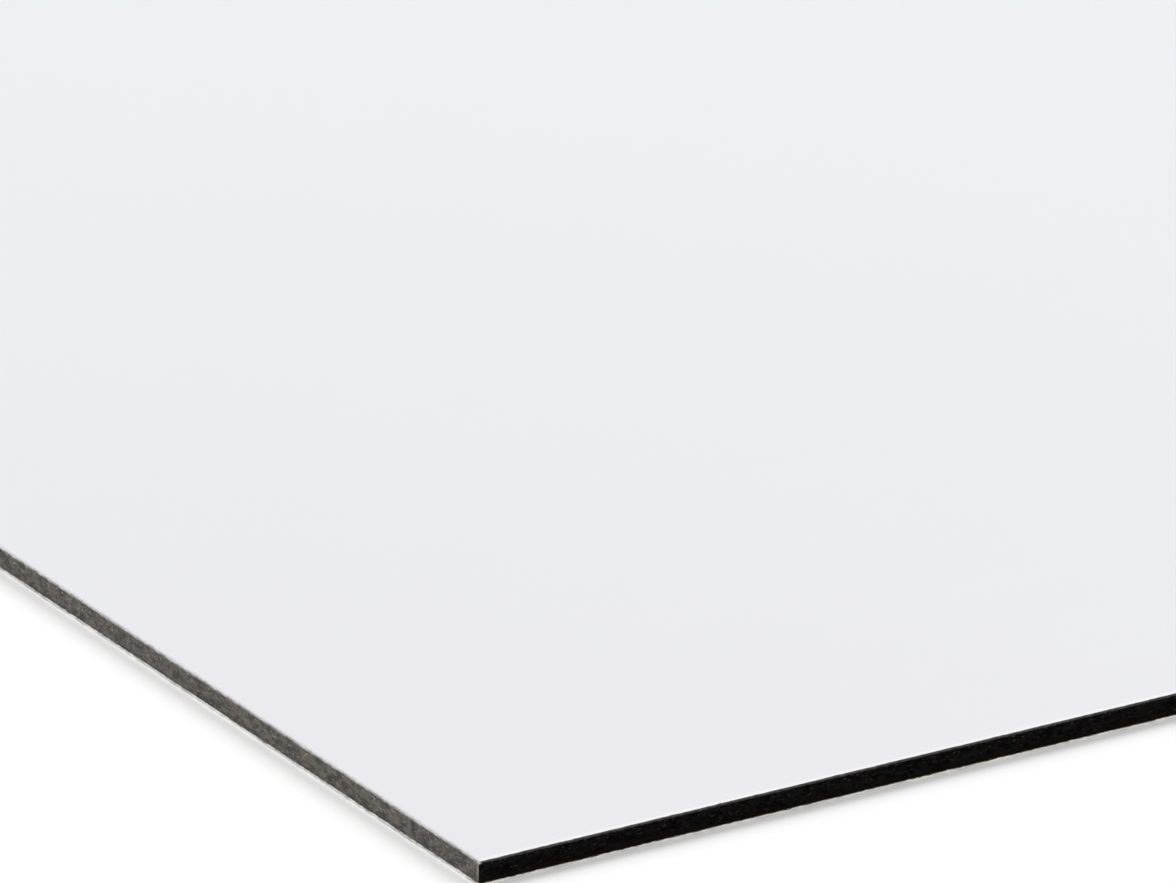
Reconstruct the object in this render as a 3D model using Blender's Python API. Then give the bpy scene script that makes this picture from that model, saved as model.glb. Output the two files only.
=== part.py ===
"""Aluminium composite panel: two thin aluminium skins bonded to a solid polyethylene core.

The panel lies flat. X runs along its length, Y across its width and Z through its thickness,
with the white lacquered face up. The origin is at the middle of the underside.
"""

import bmesh
import bpy

# Driving dimensions, in metres
PANEL_LENGTH = 1.000
PANEL_WIDTH = 0.500
PANEL_THICKNESS = 0.004
SKIN_THICKNESS = 0.0005
BOND_FILM = 0.00001  # adhesive film between each skin and the core
CORE_SETBACK = 0.00008  # the sawn core stands back this far from the skins' cut edges
CORNER_RADIUS = 0.0003  # upright edge where two cut sides of the panel meet
EDGE_BREAK = 0.00005  # the skins' outer rims are broken by this much
CORNER_SEGMENTS = 3

# The layers from the floor up
BACK_SKIN_BOTTOM = 0.0
BACK_SKIN_TOP = SKIN_THICKNESS
FRONT_SKIN_TOP = PANEL_THICKNESS
FRONT_SKIN_BOTTOM = PANEL_THICKNESS - SKIN_THICKNESS
CORE_BOTTOM = BACK_SKIN_TOP + BOND_FILM
CORE_TOP = FRONT_SKIN_BOTTOM - BOND_FILM


def clear_scene():
    for item in list(bpy.data.objects):
        bpy.data.objects.remove(item, do_unlink=True)


def make_material(name, colour, roughness, metallic):
    material = bpy.data.materials.new(name)
    material.use_nodes = True
    shader = material.node_tree.nodes["Principled BSDF"]
    shader.inputs["Base Color"].default_value = (*colour, 1.0)
    shader.inputs["Roughness"].default_value = roughness
    shader.inputs["Metallic"].default_value = metallic
    return material


def white_lacquer():
    return make_material("white_lacquer", (0.84, 0.85, 0.88), 0.35, 0.0)


def black_polyethylene():
    return make_material("black_polyethylene", (0.012, 0.011, 0.010), 0.45, 0.0)


def mill_aluminium():
    return make_material("mill_aluminium", (0.78, 0.77, 0.75), 0.38, 1.0)


def upright_edges(mesh):
    """The four edges that stand at the corners of a box."""
    return [edge for edge in mesh.edges if abs(edge.verts[0].co.z - edge.verts[1].co.z) > 1e-6]


def rim_edges(mesh, height):
    """The edges all round the flat face that lies at a height."""
    level = [face for face in mesh.faces if all(abs(vert.co.z - height) < 1e-7 for vert in face.verts)]
    return [edge for face in level for edge in face.edges]


def make_layer(name, bottom, top, setback, material, broken_rim=None):
    """A flat layer of the panel with rounded upright corners, and a broken rim where it is given."""
    mesh = bmesh.new()
    bmesh.ops.create_cube(mesh, size=1.0)
    bmesh.ops.scale(
        mesh,
        vec=(PANEL_LENGTH - 2 * setback, PANEL_WIDTH - 2 * setback, top - bottom),
        verts=mesh.verts,
    )
    bmesh.ops.translate(mesh, vec=(0, 0, (bottom + top) / 2), verts=mesh.verts)
    bmesh.ops.bevel(
        mesh,
        geom=upright_edges(mesh),
        offset=CORNER_RADIUS,
        segments=CORNER_SEGMENTS,
        affect="EDGES",
        profile=0.5,
    )
    if broken_rim is not None:
        bmesh.ops.bevel(
            mesh,
            geom=rim_edges(mesh, broken_rim),
            offset=EDGE_BREAK,
            segments=1,
            affect="EDGES",
        )
    data = bpy.data.meshes.new(name)
    mesh.to_mesh(data)
    mesh.free()
    data.materials.append(material)
    layer = bpy.data.objects.new(name, data)
    bpy.context.scene.collection.objects.link(layer)
    return layer


def make_back_skin():
    return make_layer(
        "back_skin", BACK_SKIN_BOTTOM, BACK_SKIN_TOP, 0.0, mill_aluminium(), broken_rim=BACK_SKIN_BOTTOM
    )


def make_core():
    return make_layer("core", CORE_BOTTOM, CORE_TOP, CORE_SETBACK, black_polyethylene())


def make_front_skin():
    return make_layer(
        "front_skin", FRONT_SKIN_BOTTOM, FRONT_SKIN_TOP, 0.0, white_lacquer(), broken_rim=FRONT_SKIN_TOP
    )


clear_scene()
make_back_skin()
make_core()
make_front_skin()
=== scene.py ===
import math

import bmesh
import bpy
from mathutils import Matrix, Vector


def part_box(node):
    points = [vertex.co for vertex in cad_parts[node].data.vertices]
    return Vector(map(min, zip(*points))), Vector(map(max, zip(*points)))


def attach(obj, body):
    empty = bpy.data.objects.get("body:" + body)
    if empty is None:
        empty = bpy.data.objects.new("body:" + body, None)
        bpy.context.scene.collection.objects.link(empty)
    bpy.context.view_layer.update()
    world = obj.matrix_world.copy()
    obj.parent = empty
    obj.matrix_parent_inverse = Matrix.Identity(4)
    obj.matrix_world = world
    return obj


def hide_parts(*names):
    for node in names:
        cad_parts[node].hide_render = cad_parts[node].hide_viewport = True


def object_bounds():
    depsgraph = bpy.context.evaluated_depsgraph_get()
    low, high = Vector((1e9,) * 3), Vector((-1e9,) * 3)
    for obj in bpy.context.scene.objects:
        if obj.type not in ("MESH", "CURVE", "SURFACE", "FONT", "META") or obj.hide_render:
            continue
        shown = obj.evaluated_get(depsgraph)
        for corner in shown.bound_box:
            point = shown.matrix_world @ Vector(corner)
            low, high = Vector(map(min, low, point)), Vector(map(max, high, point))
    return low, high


# White-faced aluminium composite panel lying flat. Everything is in metres, +Z up.
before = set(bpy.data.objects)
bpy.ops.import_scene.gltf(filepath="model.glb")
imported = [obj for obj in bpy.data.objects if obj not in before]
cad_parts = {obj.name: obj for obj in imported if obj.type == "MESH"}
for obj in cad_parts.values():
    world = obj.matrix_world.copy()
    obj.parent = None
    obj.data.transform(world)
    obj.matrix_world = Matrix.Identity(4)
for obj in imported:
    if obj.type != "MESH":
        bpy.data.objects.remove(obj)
cadLow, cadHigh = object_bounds()
size = cadHigh - cadLow
print("panel frame loaded:", ", ".join(sorted(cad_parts)))

mm = 0.001
hair = 0.001 * mm  # heights closer than this are taken as the same


# working in edit mode

def onlySelect(piece):
    for thing in bpy.context.selected_objects:
        thing.select_set(False)
    piece.select_set(True)
    bpy.context.view_layer.objects.active = piece


def startEdit(piece):
    onlySelect(piece)
    bpy.ops.object.mode_set(mode="EDIT")


def endEdit():
    bpy.ops.object.mode_set(mode="OBJECT")


def pickEdges(piece, wanted):
    bpy.ops.mesh.select_mode(type="EDGE")
    bpy.ops.mesh.select_all(action="DESELECT")
    for edge in bmesh.from_edit_mesh(piece.data).edges:
        if wanted(edge):
            edge.select_set(True)
    bmesh.update_edit_mesh(piece.data)


def pickFaces(piece, wanted):
    bpy.ops.mesh.select_mode(type="FACE")
    bpy.ops.mesh.select_all(action="DESELECT")
    picked = [face for face in bmesh.from_edit_mesh(piece.data).faces if wanted(face)]
    for face in picked:
        face.select_set(True)
    bmesh.update_edit_mesh(piece.data)
    return picked


# The cut wall of one layer is made as an open ring, roughened, and only then closed above and below.

cutWall = {
    "cornerRadius": 0.3,  # mm, of the upright corners
    "cornerSteps": 6,     # facets round each of them
    "cornerReach": 1.2,   # radii, the finish of the long sides goes this far round them
    "rimRadius": 0.05,    # mm, where the wall meets a flat face
    "rimSteps": 3,
    "roughLength": 20,    # mm, the sides are first split into bits this long
    "fineSteps": 40,      # and every bit into so many steps
    "bandWidth": 4,       # mm, the flat faces start with a band that gathers those steps
    "bandLength": 12,     # mm, into points about this far apart
    "flatNormal": 0.8,    # a face counts as flat when its normal has more than this of up or down in it
    "smoothAngle": 40,    # degrees, folds softer than this are shaded smooth
}


def ringAround(name, low, high, heights):
    bpy.ops.mesh.primitive_plane_add(size=1, location=(0, 0, 0))
    ring = bpy.context.object
    ring.name = ring.data.name = name
    startEdit(ring)
    bpy.ops.mesh.select_all(action="SELECT")
    bpy.ops.transform.resize(value=(high.x - low.x, high.y - low.y, 1), center_override=(0, 0, 0))
    bpy.ops.transform.translate(value=(0, 0, heights[0]))
    radius = cutWall["cornerRadius"] * mm
    bpy.ops.mesh.bevel(offset=radius, segments=cutWall["cornerSteps"], affect="VERTICES")
    bpy.ops.mesh.delete(type="ONLY_FACE")
    roughLength = cutWall["roughLength"] * mm
    for axis in (0, 1):
        pickEdges(ring, lambda edge: abs(edge.verts[0].co[axis] - edge.verts[1].co[axis]) > size[axis] / 2)
        bpy.ops.mesh.subdivide(number_cuts=round(size[axis] / roughLength) - 1)
    pickEdges(ring, lambda edge: edge.calc_length() > roughLength / 2)
    bpy.ops.mesh.subdivide(number_cuts=cutWall["fineSteps"] - 1)
    bpy.ops.mesh.select_all(action="SELECT")
    for lower, upper in zip(heights, heights[1:]):
        bpy.ops.mesh.extrude_region_move(TRANSFORM_OT_translate={"value": (0, 0, upper - lower)})
    bpy.ops.mesh.select_all(action="SELECT")
    bpy.ops.mesh.normals_make_consistent(inside=False)
    endEdit()
    return ring


def roughen(ring, relief):
    # every pass only takes material away, so the ring stays inside its outline
    onlySelect(ring)
    for label, depth, grain, upright in relief:
        texture = bpy.data.textures.new(label, "CLOUDS")
        texture.noise_scale = grain
        texture.noise_depth = 1
        guide = bpy.data.objects.new(label, None)
        bpy.context.scene.collection.objects.link(guide)
        guide.scale = (mm, mm, mm * upright)
        wear = ring.modifiers.new(label, "DISPLACE")
        wear.texture = texture
        wear.texture_coords = "OBJECT"
        wear.texture_coords_object = guide
        wear.mid_level = 1
        wear.strength = depth * mm
        bpy.context.view_layer.update()
        bpy.ops.object.modifier_apply(modifier=label)
        bpy.data.objects.remove(guide)


def closeRing(ring, height, upwards, rounded):
    # rounds the rim of the ring inwards where asked, and closes it with a flat face that looks up or down
    way = 1 if upwards else -1
    startEdit(ring)
    pickOpenRim(ring, height)
    if rounded:
        radius = cutWall["rimRadius"] * mm
        turns = steps(0, math.pi / 2, cutWall["rimSteps"])
        for before, after in zip(turns, turns[1:]):
            rise = radius * (math.sin(after) - math.sin(before))
            stepIn(way * rise, radius * (math.cos(before) - math.cos(after)))
        height += way * radius
    stepIn(0, cutWall["bandWidth"] * mm)
    bpy.ops.mesh.remove_doubles(threshold=cutWall["bandLength"] * mm)
    pickOpenRim(ring, height)
    bpy.ops.mesh.edge_face_add()
    middle = pickFaces(ring, lambda face: face.calc_area() > size.x * size.y / 2 and isLevel(face, height))
    if (middle[0].normal.z > 0) != upwards:
        bpy.ops.mesh.flip_normals()
    # the flat face and its band keep a sharp edge all round
    pickFaces(ring, lambda face: abs(face.normal.z) > cutWall["flatNormal"] and isLevel(face, height))
    bpy.ops.mesh.region_to_loop()
    bpy.ops.mesh.mark_sharp()
    endEdit()


def isLevel(part, height):
    return all(abs(vert.co.z - height) < hair for vert in part.verts)


def pickOpenRim(ring, height):
    pickEdges(ring, lambda edge: edge.is_boundary and isLevel(edge, height))


def stepIn(rise, reach):
    # draws the picked loop out into a new one, at another height and further in
    bpy.ops.mesh.extrude_region_move(TRANSFORM_OT_translate={"value": (0, 0, rise)})
    bpy.ops.transform.resize(
        value=(1 - 2 * reach / size.x, 1 - 2 * reach / size.y, 1),
        center_override=(0, 0, 0),
    )


def steps(start, end, count):
    return [start + (end - start) * step / count for step in range(count + 1)]


def paint(piece, materials, choose):
    for material in materials:
        piece.data.materials.append(material)
    for face in piece.data.polygons:
        face.material_index = choose(face)
    onlySelect(piece)
    bpy.ops.object.shade_smooth_by_angle(angle=math.radians(cutWall["smoothAngle"]))


def takePlace(piece, node):
    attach(piece, "root")
    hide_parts(node)
    print(piece.name, "made,", len(piece.data.polygons), "faces")


# materials

def newMaterial(name):
    material = bpy.data.materials.new(name)
    material.use_nodes = True
    return material, material.node_tree.nodes, material.node_tree.links


def objectPlace(nodes, links, stretch):
    place = nodes.new("ShaderNodeTexCoord")
    mapping = nodes.new("ShaderNodeMapping")
    mapping.inputs["Scale"].default_value = [1 / (length * mm) for length in stretch]
    links.new(place.outputs["Object"], mapping.inputs["Vector"])
    return mapping.outputs["Vector"]


def noiseAt(nodes, links, stretch, detail, roughness=0.5):
    # stretch is the size of one cell in mm along X, Y and Z
    noise = nodes.new("ShaderNodeTexNoise")
    noise.inputs["Scale"].default_value = 1
    noise.inputs["Detail"].default_value = detail
    noise.inputs["Roughness"].default_value = roughness
    links.new(objectPlace(nodes, links, stretch), noise.inputs["Vector"])
    return noise.outputs["Fac"]


def levelled(nodes, links, source, low, high, toLow, toHigh):
    level = nodes.new("ShaderNodeMapRange")
    level.inputs["From Min"].default_value = low
    level.inputs["From Max"].default_value = high
    level.inputs["To Min"].default_value = toLow
    level.inputs["To Max"].default_value = toHigh
    links.new(source, level.inputs["Value"])
    return level.outputs["Result"]


def blended(nodes, links, factor, first, second):
    # first and second are colours, or outputs that give them, for the node's two colour sockets, 6 and 7
    mix = nodes.new("ShaderNodeMix")
    mix.data_type = "RGBA"
    links.new(factor, mix.inputs["Factor"])
    for socket, colour in ((mix.inputs[6], first), (mix.inputs[7], second)):
        if isinstance(colour, tuple):
            socket.default_value = (*colour, 1)
        else:
            links.new(colour, socket)
    return mix.outputs[2]


def bumped(nodes, links, height, depth):
    bump = nodes.new("ShaderNodeBump")
    bump.inputs["Strength"].default_value = 1
    bump.inputs["Distance"].default_value = depth * mm
    links.new(height, bump.inputs["Height"])
    return bump.outputs["Normal"]


def reckon(nodes, links, operation, *values):
    # a Math node on outputs and plain numbers
    step = nodes.new("ShaderNodeMath")
    step.operation = operation
    for socket, value in zip(step.inputs, values):
        if isinstance(value, (int, float)):
            socket.default_value = value
        else:
            links.new(value, socket)
    return step.outputs[0]


def placeAlong(nodes, links, axis):
    place = nodes.new("ShaderNodeTexCoord")
    split = nodes.new("ShaderNodeSeparateXYZ")
    links.new(place.outputs["Object"], split.inputs["Vector"])
    return split.outputs[axis]


def nearCut(nodes, links, axis, width):
    # 1 at both ends of the panel along an axis, for a quarter of a width in mm, and 0 beyond that width
    away = reckon(nodes, links, "ABSOLUTE", placeAlong(nodes, links, axis))
    reach = getattr(cadHigh, axis.lower())
    return levelled(nodes, links, away, reach - width * mm, reach - width / 4 * mm, 0, 1)


def nearCorner(nodes, links, alongX, alongY):
    # 1 on the upright corners, where the core has a painted highlight and the metal is rubbed, and 0 so
    # many mm from them along both sides
    cornerGlintAndWear = [nearCut(nodes, links, axis, reach) for axis, reach in (("X", alongX), ("Y", alongY))]
    return reckon(nodes, links, "MULTIPLY", *cornerGlintAndWear)


# In the looks a cell is the size of one cell of noise in mm along X, Y and Z, and a noise is the stretch of
# its values over which the effect grows from nothing to all.

lacquerLook = {
    "white": (0.770, 0.766, 0.807),
    # painted light: a lighter, cooler white for the far end of the face
    "paintedLightWhite": (0.776, 0.797, 0.833),
    "coolWay": 1.2,       # the painted light cools and lightens the white along X, and this much faster along Y
    "coolOver": 0.6,      # metres
    "cloudCell": (180, 180, 180),
    "cloudReach": 0.1,    # metres, as far as the cooling wanders
    "paintedRimHighlight": (0.885, 0.875, 0.905),
    "rimWidth": 1.3,      # mm, a painted highlight makes the coating a touch paler this far in from the long sides
    "endGrey": (0.54, 0.53, 0.515),
    "endGreyWidth": 0.7,    # mm, the coating turns darker grey in patches this far in from the ends
    "endGreyCell": (1, 1, 1),
    "endGreyNoise": (0.35, 0.65),
    "endGreyShare": (0.3, 1),
    "glossCell": (25, 9, 9),
    "glossNoise": (0.3, 0.7),
    "roughness": (0.30, 0.36),
    "refraction": 1.42,
    "peelCell": (2.2, 2.2, 2.2),    # the faint ripple of a rolled coating
    "peelDepth": 0.0008,  # mm
}


def lacquer():
    material, nodes, links = newMaterial("whiteLacquer")
    shader = nodes["Principled BSDF"]
    look = lacquerLook
    # painted light: the white turns lighter and cooler towards the far corner, for the way the light falls
    # across the face
    alongX, alongY = [placeAlong(nodes, links, axis) for axis in "XY"]
    away = reckon(nodes, links, "MULTIPLY_ADD", alongY, look["coolWay"], alongX)
    cloud = noiseAt(nodes, links, look["cloudCell"], detail=2)
    clouded = reckon(nodes, links, "MULTIPLY_ADD", cloud, look["cloudReach"], away)
    start = cadLow.x + look["coolWay"] * cadLow.y + look["cloudReach"] / 2
    drift = levelled(nodes, links, clouded, start, start + look["coolOver"], 0, 1)
    field = blended(nodes, links, drift, look["white"], look["paintedLightWhite"])
    # a painted highlight along the long sides
    rim = nearCut(nodes, links, "Y", look["rimWidth"])
    rimmed = blended(nodes, links, rim, field, look["paintedRimHighlight"])
    # the coating turns darker grey in patches near the ends
    ragged = noiseAt(nodes, links, look["endGreyCell"], detail=2)
    share = levelled(nodes, links, ragged, *look["endGreyNoise"], *look["endGreyShare"])
    endGrey = reckon(nodes, links, "MULTIPLY", nearCut(nodes, links, "X", look["endGreyWidth"]), share)
    links.new(blended(nodes, links, endGrey, rimmed, look["endGrey"]), shader.inputs["Base Color"])
    gloss = noiseAt(nodes, links, look["glossCell"], detail=3)
    roughness = levelled(nodes, links, gloss, *look["glossNoise"], *look["roughness"])
    links.new(roughness, shader.inputs["Roughness"])
    shader.inputs["IOR"].default_value = look["refraction"]
    peel = noiseAt(nodes, links, look["peelCell"], detail=2)
    links.new(bumped(nodes, links, peel, look["peelDepth"]), shader.inputs["Normal"])
    return material


coreLook = {
    "end": {  # the short ends are painted grey, partly a sawn, scuffed finish and partly painted light for the lamp on them
        "dark": (0.029, 0.0265, 0.0225),
        "olive": (0.128, 0.121, 0.100),
        "brown": (0.142, 0.121, 0.105),
        "fleck": (0.305, 0.288, 0.265),
        "flecksAtFoot": 0.4,
        "arris": (0.360, 0.343, 0.321),      # a painted highlight on the upright corner
        "gap": (0.0185, 0.0165, 0.0145),     # painted shade in the gap where the core has torn away from the back skin
        "gapNoise": (0.47, 0.58),
        "gapHeight": 0.45,                   # mm
        "roughness": (0.55, 0.75),
        "specular": 0.3,
        "bump": 0.03,                        # mm
    },
    "side": {  # the long sides are trimmed clean and black, and painted darker still as painted shade
        "dark": (0.0001, 0.0001, 0.0001),
        "olive": (0.0090, 0.0080, 0.0084),
        "brown": (0.0084, 0.0058, 0.0054),
        "fleck": (0.048, 0.048, 0.051),
        "flecksAtFoot": 0.35,
        "arris": (0.006, 0.005, 0.005),
        "gap": (0.0095, 0.0046, 0.0012),     # and here the foot is only browner
        "gapNoise": (0.35, 0.5),
        "gapHeight": 0.8,
        "roughness": (0.5, 0.7),
        "specular": 0.02,
        "bump": 0.02,
    },
    # what both cuts share
    "broadCell": (2.6, 2.6, 1.4),
    "fineCell": (0.9, 0.9, 0.4),
    "mottleNoise": (0.41, 0.59),
    "roughNoise": (0.4, 0.6),
    "castCell": (3.4, 3.4, 1.8),             # patches of olive and of brown
    "castNoise": (0.42, 0.58),
    "fleckCell": (0.75, 0.75, 0.35),
    "fleckNoise": (0.62, 0.74),
    "fleckRise": 0.25,                       # the flecks get more from this share of the height upwards
    "cornerGlintAndWearReach": (0.4, 1.2),                 # mm along X and Y from a corner, as far as the painted highlight reaches
    "gapCell": (1.7, 1.7, 0.5),
    "gapShare": 0.9,
}


def polyethylene(cut, foot, top):
    # the ends take a lighter copy of the plastic as painted light, and the long sides a darker one as
    # painted shade
    look = {**coreLook, **coreLook[cut]}
    material, nodes, links = newMaterial("blackPolyethylene" + cut.capitalize())
    shader = nodes["Principled BSDF"]
    height = placeAlong(nodes, links, "Z")

    broad = noiseAt(nodes, links, look["broadCell"], detail=2, roughness=0.6)
    fine = noiseAt(nodes, links, look["fineCell"], detail=2, roughness=0.6)
    # half of each
    mottle = reckon(nodes, links, "MULTIPLY_ADD", fine, 0.5, reckon(nodes, links, "MULTIPLY", broad, 0.5))
    patches = noiseAt(nodes, links, look["castCell"], detail=1)
    cast = levelled(nodes, links, patches, *look["castNoise"], 0, 1)
    pale = blended(nodes, links, cast, look["olive"], look["brown"])
    light = levelled(nodes, links, mottle, *look["mottleNoise"], 0, 1)
    ground = blended(nodes, links, light, look["dark"], pale)

    specks = noiseAt(nodes, links, look["fleckCell"], detail=1)
    grit = levelled(nodes, links, specks, *look["fleckNoise"], 0, 1)
    start = foot + look["fleckRise"] * (top - foot)
    amount = levelled(nodes, links, height, start, top, look["flecksAtFoot"], 1)
    flecks = reckon(nodes, links, "MULTIPLY", grit, amount)
    speckled = blended(nodes, links, flecks, ground, look["fleck"])

    # a painted highlight along the upright corners of the core
    corner = reckon(nodes, links, "MULTIPLY", nearCorner(nodes, links, *look["cornerGlintAndWearReach"]), amount)
    cornerGlintAndWear = blended(nodes, links, corner, speckled, look["arris"])

    # painted shade in ragged patches at the foot of the core on the ends; on the long sides only a brown
    ragged = noiseAt(nodes, links, look["gapCell"], detail=2)
    torn = levelled(nodes, links, ragged, *look["gapNoise"], 0, look["gapShare"])
    reach = look["gapHeight"] * mm
    atFoot = levelled(nodes, links, height, foot + reach / 3, foot + reach, 1, 0)
    gap = reckon(nodes, links, "MULTIPLY", torn, atFoot)
    links.new(blended(nodes, links, gap, cornerGlintAndWear, look["gap"]), shader.inputs["Base Color"])

    roughness = levelled(nodes, links, mottle, *look["roughNoise"], *look["roughness"])
    links.new(roughness, shader.inputs["Roughness"])
    shader.inputs["Specular IOR Level"].default_value = look["specular"]
    links.new(bumped(nodes, links, fine, look["bump"]), shader.inputs["Normal"])
    return material


metalLook = {
    # painted light: the bare metal is brighter on the long sides, making up for their shade, and the smear
    # on the ends is lighter, like the lit grey of the core there
    "end": {
        "bright": (0.86, 0.84, 0.815),
        "dull": (0.60, 0.59, 0.575),
        "smear": (0.097, 0.090, 0.082),      # polymer dragged over the metal, painted lighter here as painted light
        "roughness": (0.36, 0.55),
    },
    "side": {
        "bright": (0.93, 0.905, 0.865),
        "dull": (0.79, 0.765, 0.725),
        "smear": (0.016, 0.0155, 0.0165),
        "roughness": (0.55, 0.75),
    },
    # what both cuts share
    "burnishCell": (2.4, 2.4, 0.4),
    "burnishNoise": (0.4, 0.6),
    "roughNoise": (0.3, 0.7),
    "patchCell": (1.1, 1.1, 0.6),            # the line between smear and metal wanders in patches
    "patchNoise": (0.3, 0.7),
    "rubbed": 0.6,                           # the share of the smear that is gone from the upright corners
    "cornerGlintAndWearReach": (0.65, 1.2),                # mm along X and Y, as far as that reaches
    "smearSpecular": 0.06,
    "scratchCell": (0.3, 0.3, 0.06),
    "scratchDepth": 0.006,                   # mm
}


def cutAluminium(skin, cut, smear, foot):
    # The smear fades between two heights above the foot of the skin, with a share of bare metal at each
    # of them, and the line between the two wanders up and down.
    material, nodes, links = newMaterial(skin + cut.capitalize())
    shader = nodes["Principled BSDF"]
    look = {**metalLook, **metalLook[cut]}
    burnish = noiseAt(nodes, links, look["burnishCell"], detail=3)
    burnished = levelled(nodes, links, burnish, *look["burnishNoise"], 0, 1)
    # the metal is painted brighter on the long sides than on the ends, as painted light
    metal = blended(nodes, links, burnished, look["dull"], look["bright"])
    patch = noiseAt(nodes, links, look["patchCell"], detail=3, roughness=0.6)
    wander = levelled(nodes, links, patch, *look["patchNoise"], -0.5, 0.5)
    line = reckon(nodes, links, "MULTIPLY_ADD", wander, smear["wander"] * mm, placeAlong(nodes, links, "Z"))
    low, high = [foot + level * mm for level in smear["heights"]]
    cleared = levelled(nodes, links, line, low, high, *smear["bare"])
    corner = nearCorner(nodes, links, *look["cornerGlintAndWearReach"])
    rubbed = reckon(nodes, links, "MULTIPLY", corner, look["rubbed"])
    bare = reckon(nodes, links, "MAXIMUM", cleared, rubbed)
    links.new(blended(nodes, links, bare, look["smear"], metal), shader.inputs["Base Color"])
    links.new(bare, shader.inputs["Metallic"])
    shader.inputs["Specular IOR Level"].default_value = look["smearSpecular"]
    roughness = levelled(nodes, links, burnish, *look["roughNoise"], *look["roughness"])
    links.new(roughness, shader.inputs["Roughness"])
    scratches = noiseAt(nodes, links, look["scratchCell"], detail=2)
    links.new(bumped(nodes, links, scratches, look["scratchDepth"]), shader.inputs["Normal"])
    return material


millLook = {
    "dark": (0.70, 0.695, 0.68),
    "pale": (0.77, 0.765, 0.75),
    "cloudCell": (60, 40, 40),
    "grainCell": (90, 0.35, 0.35),           # drawn out along the panel by the rolls
    "grainNoise": (0.3, 0.7),
    "grainDepth": 0.002,                     # mm
    "roughness": (0.3, 0.46),
}


def millAluminium():
    material, nodes, links = newMaterial("millAluminium")
    shader = nodes["Principled BSDF"]
    look = millLook
    cloud = noiseAt(nodes, links, look["cloudCell"], detail=2)
    links.new(blended(nodes, links, cloud, look["dark"], look["pale"]), shader.inputs["Base Color"])
    shader.inputs["Metallic"].default_value = 1
    grain = noiseAt(nodes, links, look["grainCell"], detail=4, roughness=0.6)
    roughness = levelled(nodes, links, grain, *look["grainNoise"], *look["roughness"])
    links.new(roughness, shader.inputs["Roughness"])
    links.new(bumped(nodes, links, grain, look["grainDepth"]), shader.inputs["Normal"])
    return material


# the three layers

isFlat, isSide, isEnd = 0, 1, 2  # the way a face looks, and the number of its finish on the back skin


def facing(face):
    # the rounded corners count as part of the long sides
    if abs(face.normal.z) > cutWall["flatNormal"]:
        return isFlat
    fromSide = cadHigh.y - abs(face.center.y)
    return isEnd if fromSide > cutWall["cornerReach"] * cutWall["cornerRadius"] * mm else isSide


# Each kind of relief has a name, how deep it reaches in mm, the size of its cells in mm, and how much
# taller than wide they are. One blade cut through all the layers, so its wander is the same in each.
bladeWander = (("bladeWander", 0.06, 5.0, 1000), ("bladeChatter", 0.10, 1.6, 1000))

frontSkin = {
    "wallSteps": 3,
    "tear": (("frontSkinTear", 0.18, 0.7, 1),),
    "smear": {  # mm above the foot of the skin, the shares of bare metal there, and mm up and down
        "side": {"heights": (0, 0.5), "bare": (0, 0.16), "wander": 0.3},
        "end": {"heights": (0, 0.5), "bare": (0.17, 0.93), "wander": 0.4},
    },
}


def makeFrontSkin():
    values = frontSkin
    low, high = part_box("front_skin")
    heights = steps(low.z, high.z - cutWall["rimRadius"] * mm, values["wallSteps"])
    skin = ringAround("whiteFrontSkin", low, high, heights)
    roughen(skin, bladeWander + values["tear"])
    closeRing(skin, heights[0], upwards=False, rounded=False)
    closeRing(skin, heights[-1], upwards=True, rounded=True)

    def choose(face):
        # the lacquer reaches over the rim, and the metal underneath stays bare
        if face.center.z > heights[-1] + hair:
            return 0
        return facing(face) or 3

    cuts = [cutAluminium("frontSkin", cut, smear, low.z) for cut, smear in values["smear"].items()]
    paint(skin, [lacquer(), *cuts, millAluminium()], choose)
    takePlace(skin, "front_skin")


core = {
    "wallSteps": 11,
    "tear": (
        ("coreSawMarks", 0.005, 0.8, 5),
        ("coreTear", 0.03, 1.1, 0.45),
    ),
}


def makeCore():
    values = core
    low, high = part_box("core")
    heights = steps(low.z, high.z, values["wallSteps"])
    layer = ringAround("blackCore", low, high, heights)
    roughen(layer, bladeWander + values["tear"])
    closeRing(layer, heights[0], upwards=False, rounded=False)
    closeRing(layer, heights[-1], upwards=True, rounded=False)
    finishes = [polyethylene(cut, low.z, high.z) for cut in ("side", "end")]
    paint(layer, finishes, lambda face: 1 if facing(face) == isEnd else 0)
    takePlace(layer, "core")


backSkin = {
    "wallSteps": 3,
    "tear": (("backSkinTear", 0.05, 0.8, 1),),
    "smear": {
        "side": {"heights": (0.37, 0.47), "bare": (1, 0), "wander": 0.15},
        "end": {"heights": (0.42, 0.52), "bare": (1, 0), "wander": 0.3},
    },
}


def makeBackSkin():
    values = backSkin
    low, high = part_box("back_skin")
    rim = cutWall["rimRadius"] * mm
    heights = steps(low.z + rim, high.z - rim, values["wallSteps"])
    skin = ringAround("plainBackSkin", low, high, heights)
    roughen(skin, bladeWander + values["tear"])
    closeRing(skin, heights[0], upwards=False, rounded=True)
    closeRing(skin, heights[-1], upwards=True, rounded=True)
    cuts = [cutAluminium("backSkin", cut, smear, low.z) for cut, smear in values["smear"].items()]
    paint(skin, [millAluminium(), *cuts], facing)
    takePlace(skin, "back_skin")


makeFrontSkin()
makeCore()
makeBackSkin()


cameraFacts = {
    "lens": 309.0,        # mm
    "sensor": 36.0,       # mm
    "azimuth": 31.52,     # degrees, how far the aim is turned from +Y towards +X
    "pitch": 20.965,      # degrees below the horizon
    "depth": 1.460,       # metres from the lens to the near corner, along the aim
    "clip": (0.05, 100),  # metres
    "cornerPixel": (479.0, 862.0),
    "frameSize": (1176, 883),
}


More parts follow.
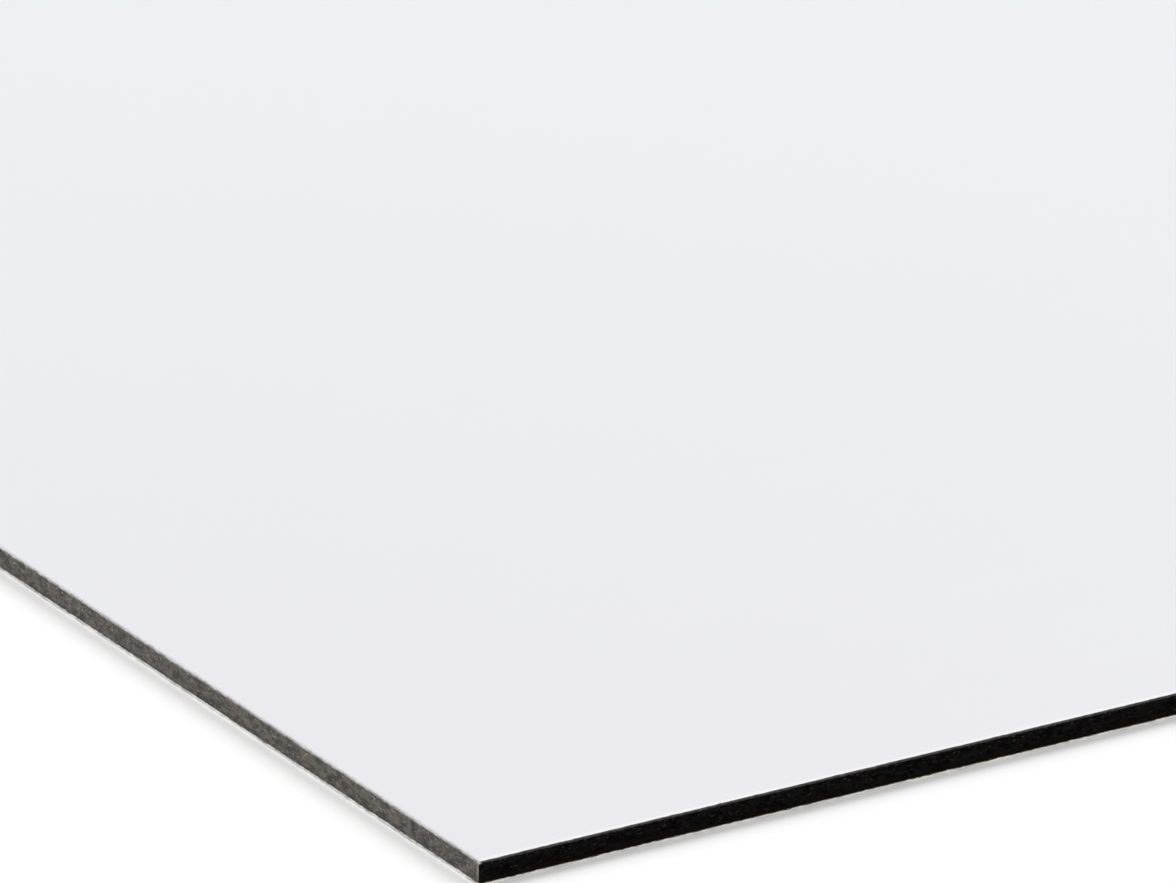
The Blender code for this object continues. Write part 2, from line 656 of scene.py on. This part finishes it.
def addCamera():
    facts = cameraFacts
    azimuth, pitch = math.radians(facts["azimuth"]), math.radians(facts["pitch"])
    level = Vector((math.sin(azimuth), math.cos(azimuth), 0))
    aim = level * math.cos(pitch) - Vector((0, 0, math.sin(pitch)))
    side = level.cross(Vector((0, 0, 1)))
    up = side.cross(aim)
    wide, tall = facts["frameSize"]
    pixel = facts["sensor"] / facts["lens"] / wide * facts["depth"]
    across = (facts["cornerPixel"][0] - wide / 2) * pixel
    below = (facts["cornerPixel"][1] - tall / 2) * pixel
    corner = Vector((cadLow.x, cadLow.y, cadHigh.z))
    eye = corner - aim * facts["depth"] - side * across + up * below
    data = bpy.data.cameras.new("camera")
    data.lens, data.sensor_width = facts["lens"], facts["sensor"]
    data.clip_start, data.clip_end = facts["clip"]
    camera = bpy.data.objects.new("camera", data)
    bpy.context.scene.collection.objects.link(camera)
    camera.matrix_world = Matrix.Translation(eye) @ Matrix((side, up, -aim)).transposed().to_4x4()
    bpy.context.scene.camera = camera
    print("camera placed at", [round(value, 3) for value in eye])


studio = {
    "floorSize": 60,      # metres
    "floorGap": 0.01,     # mm, so that the underside and the floor are never in one plane
    "floor": {"base": 0.86, "Is Camera Ray": 1.0, "Is Glossy Ray": 0.95, "Is Transmission Ray": 0.95},
    "world": {"base": 0.55, "Is Camera Ray": 1, "Is Glossy Ray": 0.95, "Is Transmission Ray": 0.95},
    "softboxes": {  # metres and watts
        "backSoftbox": {
            "place": (1.8, 1.2, 3),
            "aimAt": (-0.4, 0, 0),
            "spread": (2.4, 2.4),
            "power": 47,
        },
        "leftSoftbox": {
            "place": (-5.8, 2.3, 6.9),
            "aimAt": (-0.5, 0, 0),
            "spread": (7.5, 7.5),
            "power": 382,
        },
    },
}


def byRay(nodes, links, levels):
    # the base level, or the one that goes with the kind of ray that looks
    path = nodes.new("ShaderNodeLightPath")
    total = levels["base"]
    for label, level in levels.items():
        if label != "base":
            more = level - levels["base"]
            total = reckon(nodes, links, "MULTIPLY_ADD", path.outputs[label], more, total)
    return total


def addFloor():
    place = (0, 0, -studio["floorGap"] * mm)
    bpy.ops.mesh.primitive_plane_add(size=studio["floorSize"], location=place)
    floor = bpy.context.object
    floor.name = "floor"
    material, nodes, links = newMaterial("paleFloor")
    nodes.remove(nodes["Principled BSDF"])
    matt = nodes.new("ShaderNodeBsdfDiffuse")
    links.new(matt.outputs[0], nodes["Material Output"].inputs["Surface"])
    links.new(byRay(nodes, links, studio["floor"]), matt.inputs["Color"])
    floor.data.materials.append(material)


def addWorld():
    world = bpy.data.worlds.new("studioWorld")
    bpy.context.scene.world = world
    world.use_nodes = True
    nodes, links = world.node_tree.nodes, world.node_tree.links
    sky = nodes["Background"]
    sky.inputs["Color"].default_value = (1, 1, 1, 1)
    links.new(byRay(nodes, links, studio["world"]), sky.inputs["Strength"])


def addSoftbox(name, place, aimAt, spread, power):
    data = bpy.data.lights.new(name, "AREA")
    data.shape = "RECTANGLE"
    data.size, data.size_y = spread
    data.energy = power
    lamp = bpy.data.objects.new(name, data)
    bpy.context.scene.collection.objects.link(lamp)
    turn = (Vector(aimAt) - Vector(place)).to_track_quat("-Z", "Y")
    lamp.matrix_world = Matrix.Translation(place) @ turn.to_matrix().to_4x4()
    lamp.visible_camera = False


addCamera()
addFloor()
addWorld()
for name, softbox in studio["softboxes"].items():
    addSoftbox(name, **softbox)
bpy.context.scene.view_settings.view_transform = "Standard"
print("studio lit")
